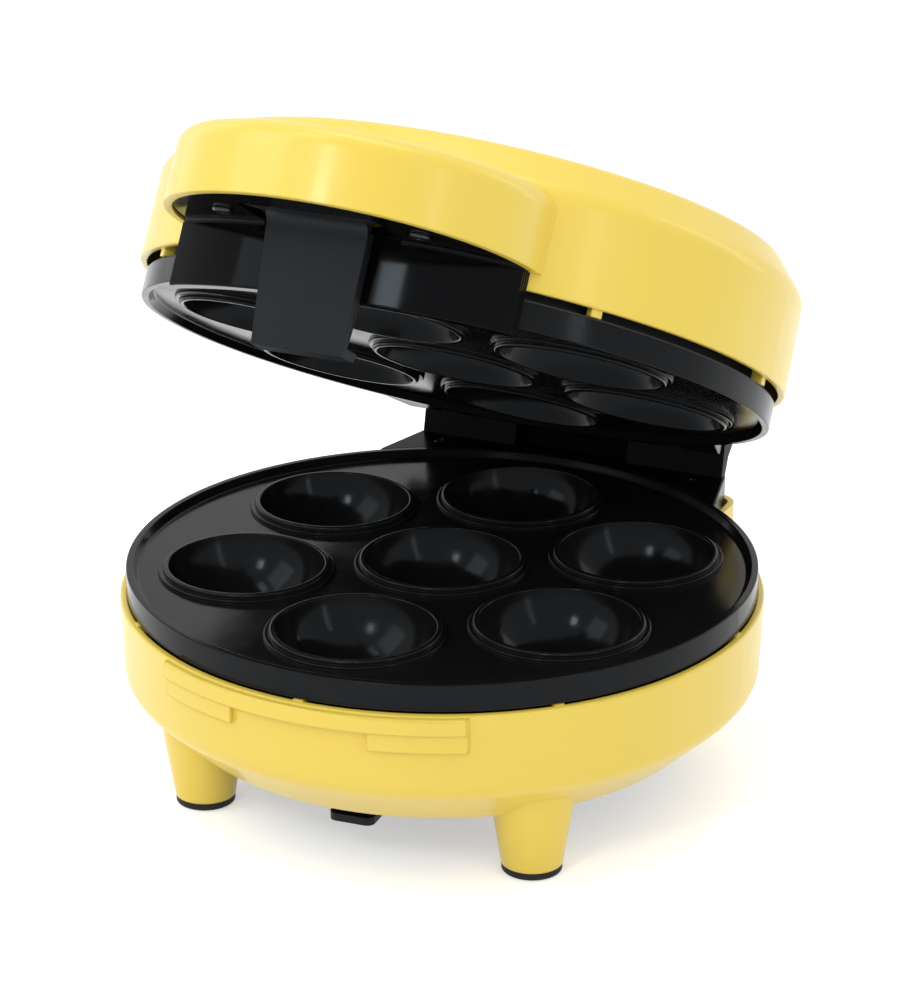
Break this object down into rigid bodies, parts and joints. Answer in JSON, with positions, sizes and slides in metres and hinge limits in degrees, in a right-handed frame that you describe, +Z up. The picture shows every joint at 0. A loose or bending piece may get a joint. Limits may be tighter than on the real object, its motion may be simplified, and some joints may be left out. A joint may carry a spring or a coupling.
{
  "type": "donut maker",
  "caption": "Round hinged donut-ball maker: cast cup plates in moulded shells, visor-shaped front grip with a rocking latch, rear hinge, short tapered legs.",
  "frame": {"origin": "on the table, under the centre of the lower baking plate and midway between the feet", "axes": "+Z up; -Y towards the latch and the visor at the front; +Y towards the hinge; +X to the right seen from the front"},
  "size_m": [0.2414, 0.2689, 0.2772],
  "materials": {
    "yellow_shell": "satin-gloss moulding",
    "black_moulding": "matt moulding",
    "black_insert": "gloss moulding",
    "coated_plate": "cast, non-stick coated",
    "bright_sheet": "pressed sheet",
    "heater_tube": "drawn tube",
    "ceramic": "unglazed ceramic",
    "steel_pin": "turned",
    "black_screw": "black oxide",
    "spring_wire": "drawn wire",
    "rubber_pad": "matt",
    "terminal": "moulded",
    "lens_red": "clear tinted",
    "lens_green": "clear tinted",
    "lamp": "moulded"
  },
  "bodies": {
    "base": {"bottom_cover": "black_moulding", "bottom_cover_screws": "black_screw", "cord_gland": "rubber_pad", "foot_front_left": "rubber_pad", "foot_front_right": "rubber_pad", "foot_rear_left": "rubber_pad", "foot_rear_right": "rubber_pad", "hinge_block_lower": "black_moulding", "hinge_pin": "steel_pin", "hinge_screws_lower": "black_screw", "lower_heater": "heater_tube", "lower_heater_bushings": "ceramic", "lower_housing": "yellow_shell", "lower_plate": "coated_plate", "lower_plate_screws": "steel_pin", "lower_reflector": "bright_sheet", "lower_reflector_screws": "steel_pin", "lower_thermal_fuse": "bright_sheet", "lower_thermostat": "bright_sheet", "terminal_block": "terminal"},
    "lid": {"handle_insert": "black_insert", "hinge_block_upper": "black_moulding", "hinge_screws_upper": "black_screw", "insert_screws": "black_screw", "lamp_bodies": "lamp", "lamp_lens_power": "lens_red", "lamp_lens_ready": "lens_green", "latch_pin": "steel_pin", "upper_heater": "heater_tube", "upper_heater_bushings": "ceramic", "upper_housing": "yellow_shell", "upper_plate": "coated_plate", "upper_plate_screws": "steel_pin", "upper_reflector": "bright_sheet", "upper_reflector_screws": "steel_pin", "upper_thermal_fuse": "bright_sheet", "upper_thermostat": "bright_sheet"},
    "latch": {"latch": "black_moulding", "latch_spring": "spring_wire"}
  },
  "joints": [
    {"name": "lid_hinge", "type": "hinge", "parent": "base", "child": "lid", "pos_m": [0, 0.1323, 0.102], "axis": [-1, 0, 0], "range_deg": [-30, 60]},
    {"name": "latch_rock", "type": "hinge", "parent": "lid", "child": "latch", "pos_m": [0, -0.09461, 0.23358], "axis": [-1, 0, 0], "range_deg": [0, 12], "stiffness_Nm_per_rad": 0.05, "springref_deg": -28.65}
  ]
}
